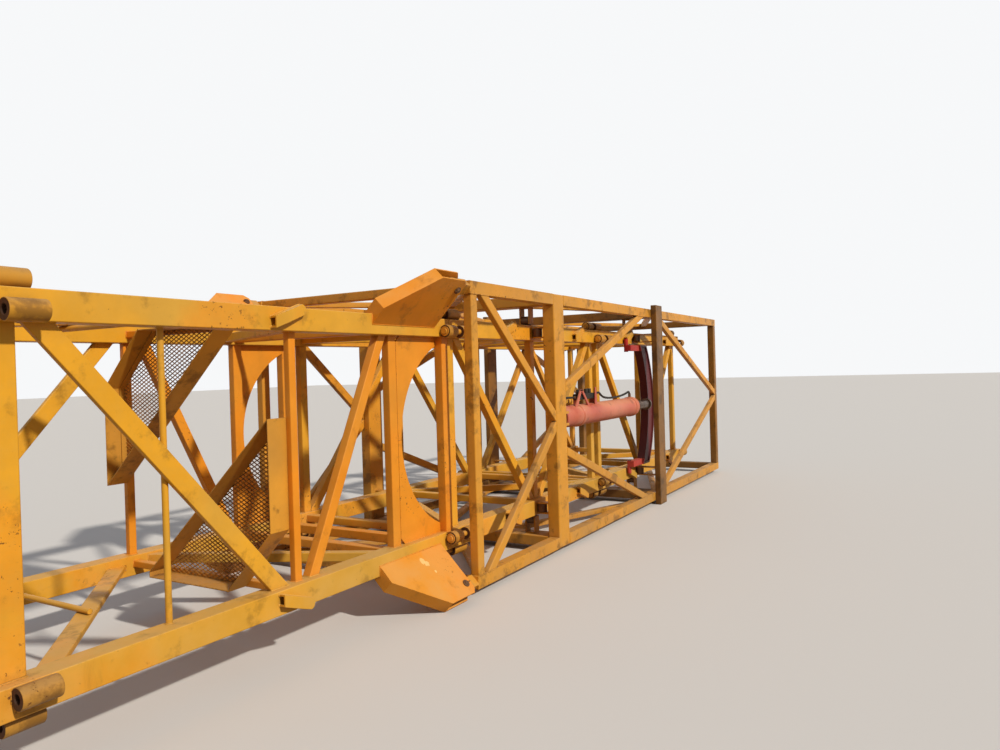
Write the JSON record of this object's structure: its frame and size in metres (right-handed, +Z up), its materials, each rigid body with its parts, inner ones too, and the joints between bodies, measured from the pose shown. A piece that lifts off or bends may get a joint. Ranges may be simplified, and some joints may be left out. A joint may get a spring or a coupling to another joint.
{
  "type": "tower crane mast head with climbing cage",
  "caption": "Laid-down tower crane mast head with flared corner ears, bolted to mast sections inside a climbing cage with a jacking cylinder and crossbeam.",
  "frame": {"origin": "on the ground, below the middle of the part's box", "axes": "+X along the tower axis from the mast head's free end to the cage's open end, -Y the side of the jacking cylinder, +Z up as the part lies"},
  "size_m": [10.42, 2.49, 2.4495],
  "materials": {
    "yellow_paint": "weathered",
    "fresh_paint": "satin",
    "cage_paint": "weathered",
    "bare_steel": "rusty",
    "mesh_steel": "weathered",
    "red_paint": "worn",
    "maroon_paint": "worn",
    "rod_steel": "oily",
    "black_rubber": "matt"
  },
  "bodies": {
    "structure": {"head_chords": "yellow_paint", "head_end_frame": "yellow_paint", "head_mid_frame": "fresh_paint", "head_flare_frame": "fresh_paint", "head_side_braces": "yellow_paint", "head_plan_braces": "yellow_paint", "head_stay_tubes": "yellow_paint", "arched_gussets": "fresh_paint", "corner_ears": "fresh_paint", "head_bolt_sleeves": "yellow_paint", "head_climbing_lugs": "yellow_paint", "rest_platform_frame": "cage_paint", "rest_platform_mesh": "mesh_steel", "toe_boards": "cage_paint", "mast_1_chords": "yellow_paint", "mast_1_posts": "yellow_paint", "mast_1_braces": "yellow_paint", "mast_1_bolt_sleeves": "yellow_paint", "mast_1_climbing_lugs": "yellow_paint", "mast_2_chords": "yellow_paint", "mast_2_posts": "yellow_paint", "mast_2_braces": "yellow_paint", "mast_2_bolt_sleeves": "yellow_paint", "mast_2_climbing_lugs": "yellow_paint", "joint_bolts": "bare_steel", "cage_chords": "cage_paint", "cage_head_frame": "cage_paint", "cage_deep_posts": "cage_paint", "cage_deep_rails": "cage_paint", "cage_splice_posts": "cage_paint", "cage_splice_rails": "cage_paint", "cage_tail_frame": "cage_paint", "cage_side_braces": "cage_paint", "cage_plan_braces": "cage_paint", "cage_corner_lugs": "cage_paint", "ear_pins": "bare_steel", "guide_brackets": "cage_paint", "guide_rollers": "bare_steel", "cylinder_bracket": "cage_paint", "cylinder_pin": "bare_steel"},
    "cylinder": {"cylinder_barrel": "red_paint", "valve_block": "black_rubber", "hydraulic_hoses": "black_rubber"},
    "ram": {"piston_rod": "rod_steel", "crossbeam": "maroon_paint"}
  },
  "joints": [
    {"name": "cylinder_swing", "type": "hinge", "parent": "structure", "child": "cylinder", "pos_m": [-0.195, -1.002, 1.22477], "axis": [0, 0, 1], "range_deg": [-1.3, 0]},
    {"name": "ram_stroke", "type": "slide", "parent": "cylinder", "child": "ram", "axis": [1, 0, 0], "range_m": [-0.45, 0]}
  ]
}
